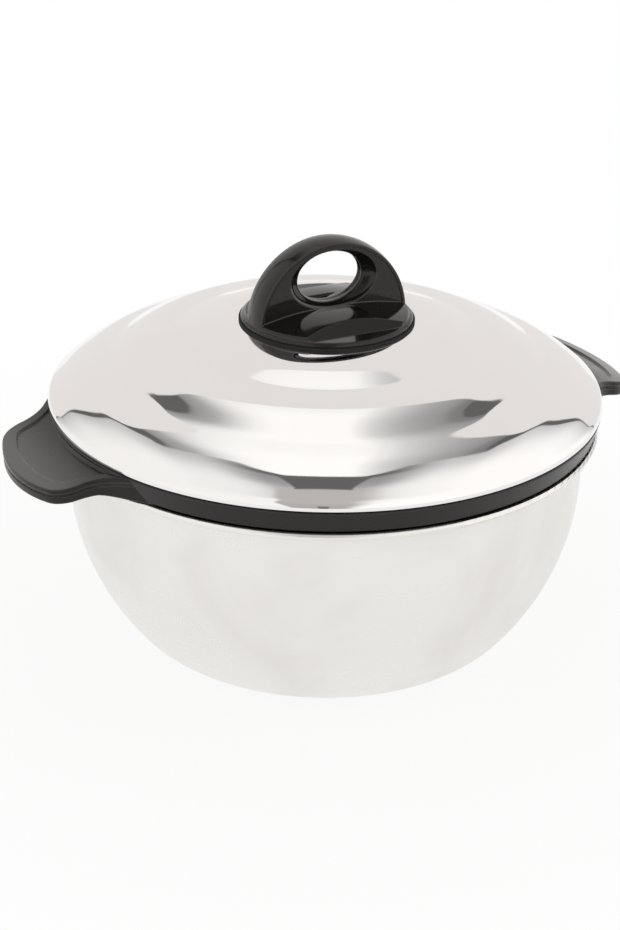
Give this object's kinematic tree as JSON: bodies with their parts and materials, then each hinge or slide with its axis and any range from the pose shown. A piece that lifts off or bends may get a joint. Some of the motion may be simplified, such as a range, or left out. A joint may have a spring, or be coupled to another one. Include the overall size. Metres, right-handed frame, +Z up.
{
  "type": "insulated serving casserole",
  "caption": "Round double-walled serving casserole with a stepped lift-off lid, moulded arch knob and a collar with drooping side handles.",
  "frame": {"origin": "middle of the base, on the surface that the casserole stands on", "axes": "+X along the two handle wings, +Y across them, +Z up"},
  "size_m": [0.3112, 0.26, 0.1971],
  "materials": {
    "shell_steel": "satin",
    "food_steel": "satin",
    "dome_steel": "polished",
    "foam": "matte",
    "handle_plastic": "satin",
    "knob_plastic": "gloss",
    "pad_rubber": "matte",
    "fixings": "satin"
  },
  "bodies": {
    "bowl": {"outer_bowl": "shell_steel", "inner_bowl": "food_steel", "bowl_foam": "foam", "handle_collar": "handle_plastic"},
    "lid": {"lid_dome": "dome_steel", "lid_liner": "food_steel", "lid_foam": "foam", "knob": "knob_plastic", "knob_gasket": "pad_rubber", "knob_screw_left": "fixings", "knob_screw_right": "fixings", "knob_washer_left": "fixings", "knob_washer_right": "fixings"}
  },
  "joints": [
    {"name": "lid_lift", "type": "slide", "parent": "bowl", "child": "lid", "axis": [0, 0, 1], "range_m": [0, 0.15]}
  ]
}
